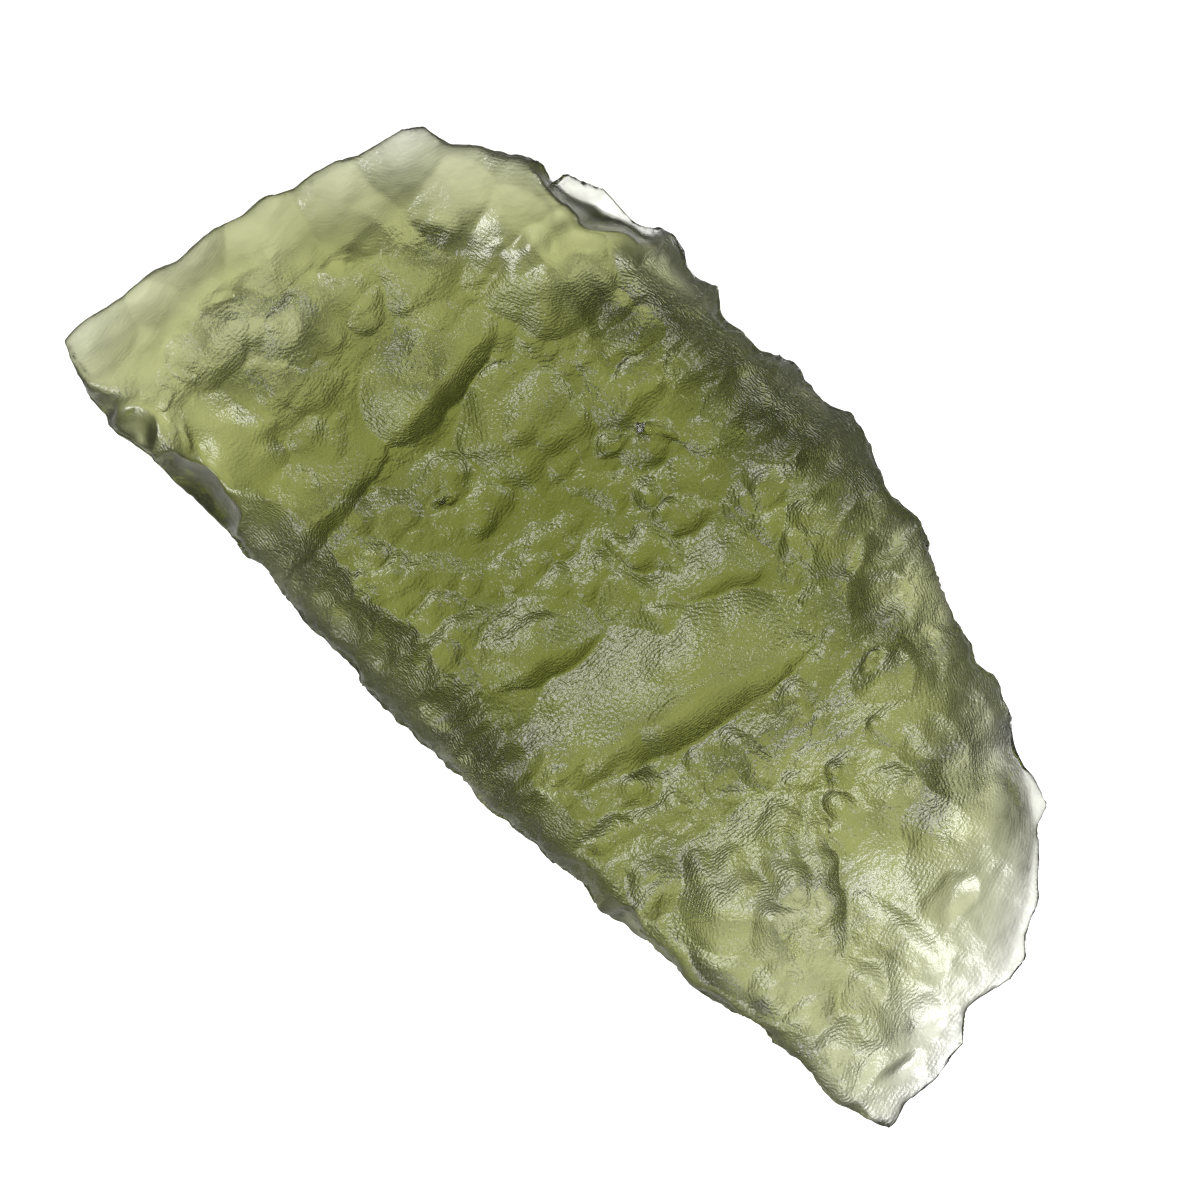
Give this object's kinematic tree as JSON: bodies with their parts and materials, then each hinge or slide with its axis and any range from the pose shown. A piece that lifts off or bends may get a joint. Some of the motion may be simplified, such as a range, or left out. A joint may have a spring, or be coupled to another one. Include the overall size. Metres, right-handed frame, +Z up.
{
  "type": "moldavite",
  "caption": "Rough lump of see-through olive green natural glass, long and flat, pitted and grooved all over, thinning to pale broken ends.",
  "frame": {"origin": "on the surface the stone rests on, under the middle of its bounding box", "axes": "+X along the stone to its thin pale end, +Z up through its thickness, from the resting side to the side the picture shows"},
  "size_m": [0.0402, 0.019, 0.0083],
  "materials": {
    "moldavite_glass": "etched, half matt, see-through"
  },
  "bodies": {
    "root": {"moldavite": "moldavite_glass"}
  },
  "joints": []
}
